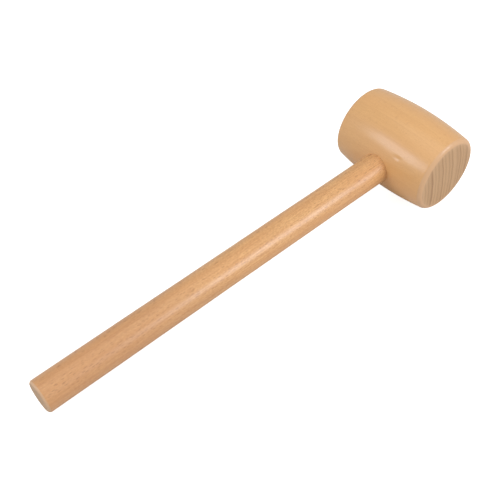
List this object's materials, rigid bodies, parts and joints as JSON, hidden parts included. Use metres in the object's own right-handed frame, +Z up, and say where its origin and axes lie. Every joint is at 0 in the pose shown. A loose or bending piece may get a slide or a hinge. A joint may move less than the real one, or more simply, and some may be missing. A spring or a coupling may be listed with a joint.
{
  "type": "carving mallet",
  "caption": "Small wooden carving mallet: a barrel-shaped head with flat striking faces on a plain round dowel handle, wedged through the head.",
  "frame": {"origin": "on the surface the mallet lies on, under the middle of its overall box", "axes": "+Z up; +X along the head's axis toward the right striking face; +Y along the mallet from the butt toward the head"},
  "size_m": [0.0676, 0.282, 0.052],
  "materials": {
    "head_beech": "satin clear lacquer on turned beech, side grain on the barrel and end grain on the striking faces",
    "handle_beech": "satin clear lacquer on a beech dowel, with small darker ray flecks along the grain",
    "wedge_hardwood": "darker hardwood end, sanded flush and lacquered over"
  },
  "bodies": {
    "root": {"head": "head_beech", "handle": "handle_beech", "wedge": "wedge_hardwood"}
  },
  "joints": []
}
